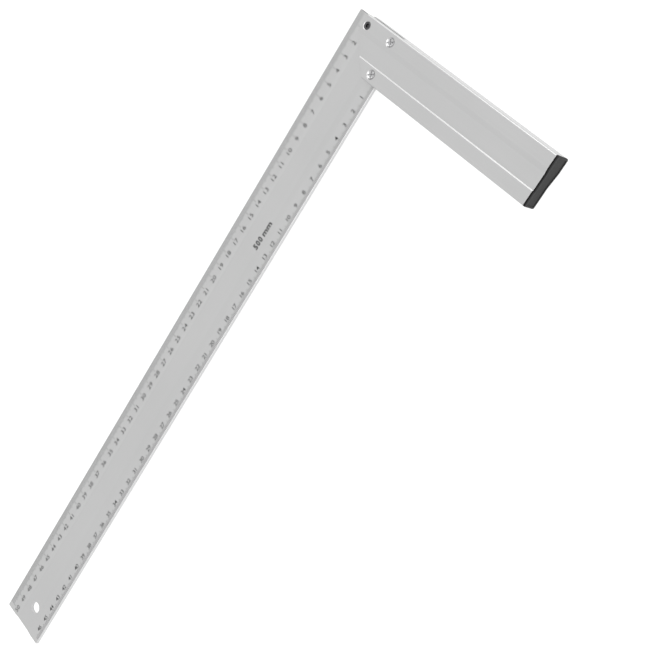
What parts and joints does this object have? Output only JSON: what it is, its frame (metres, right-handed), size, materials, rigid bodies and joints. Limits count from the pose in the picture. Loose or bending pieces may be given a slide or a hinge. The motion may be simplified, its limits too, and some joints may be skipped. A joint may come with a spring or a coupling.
{
  "type": "try square",
  "caption": "Carpenter's try square: a long ruled flat blade with a hanging hole, clamped at right angles in a hollow mitred stock that ends in a plastic plug cap.",
  "frame": {"origin": "centre of the bounding box at the lowest plane of the stock's back", "axes": "+Y along the blade away from the stock, -X along the stock away from the blade, +Z out of the ruled front"},
  "size_m": [0.174, 0.5044, 0.0125],
  "materials": {
    "blade": "satin anodised",
    "stock": "satin anodised",
    "cap": "moulded, fine grain",
    "packer": "moulded",
    "screw": "bright zinc plated",
    "nut": "zinc plated",
    "set_screw": "black oxide",
    "ink": "printed scale marks"
  },
  "bodies": {
    "root": {"blade": "blade", "stock_body": "stock", "end_cap": "cap", "front_packer": "packer", "rear_packer": "packer", "clamp_screws": "screw", "clamp_nuts": "nut", "set_screw": "set_screw"}
  },
  "joints": []
}
